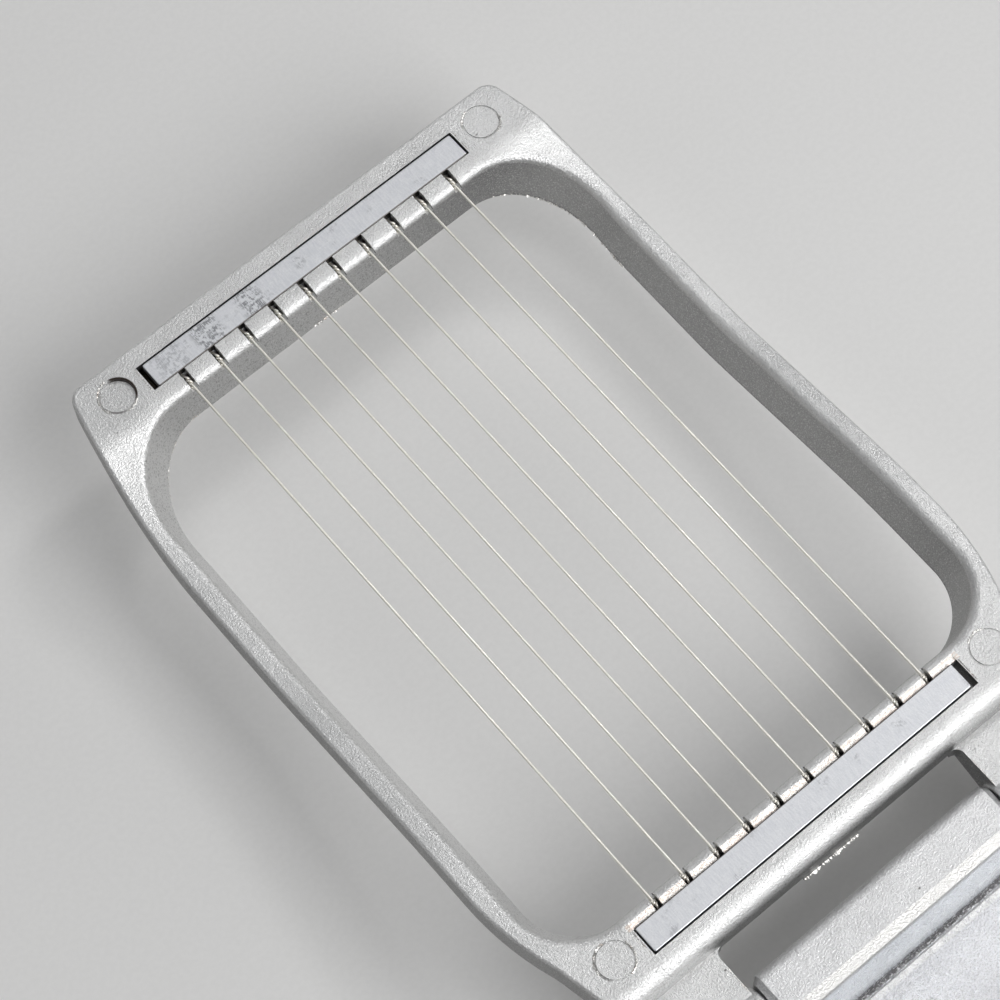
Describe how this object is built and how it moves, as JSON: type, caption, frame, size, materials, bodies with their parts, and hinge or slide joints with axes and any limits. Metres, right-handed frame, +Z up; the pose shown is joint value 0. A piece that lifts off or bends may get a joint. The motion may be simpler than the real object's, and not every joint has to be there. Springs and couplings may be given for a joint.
{
  "type": "egg slicer",
  "caption": "Cast metal egg slicer, open flat: an arched wire frame hinged to a base with a slotted egg dish.",
  "frame": {"origin": "centre of the open slicer's bounding box, on the surface that the base stands on", "axes": "+X along the hinge, +Y from the base towards the open cutting frame's far end, +Z up"},
  "size_m": [0.0796, 0.238, 0.026],
  "materials": {
    "base_casting": "die-cast, fine bead-blasted, satin silver",
    "frame_casting": "die-cast, fine bead-blasted, satin silver",
    "clamp_bar": "flat drawn bar, lightly brushed, with press marks",
    "wire_steel": "drawn stainless wire, bright",
    "rod_steel": "drawn steel rod",
    "pin_steel": "ground steel pin"
  },
  "bodies": {
    "base_body": {"base": "base_casting", "left_hinge_pin": "pin_steel", "right_hinge_pin": "pin_steel"},
    "frame_body": {"cutting_frame": "frame_casting", "front_clamp_bar": "clamp_bar", "rear_clamp_bar": "clamp_bar", "front_anchor_rod": "rod_steel", "rear_anchor_rod": "rod_steel", "wire_01": "wire_steel", "wire_02": "wire_steel", "wire_03": "wire_steel", "wire_04": "wire_steel", "wire_05": "wire_steel", "wire_06": "wire_steel", "wire_07": "wire_steel", "wire_08": "wire_steel", "wire_09": "wire_steel", "wire_10": "wire_steel"}
  },
  "joints": [
    {"name": "frame_hinge", "type": "hinge", "parent": "base_body", "child": "frame_body", "pos_m": [0, -0.0005, 0.014], "axis": [1, 0, 0], "range_deg": [0, 180]}
  ]
}
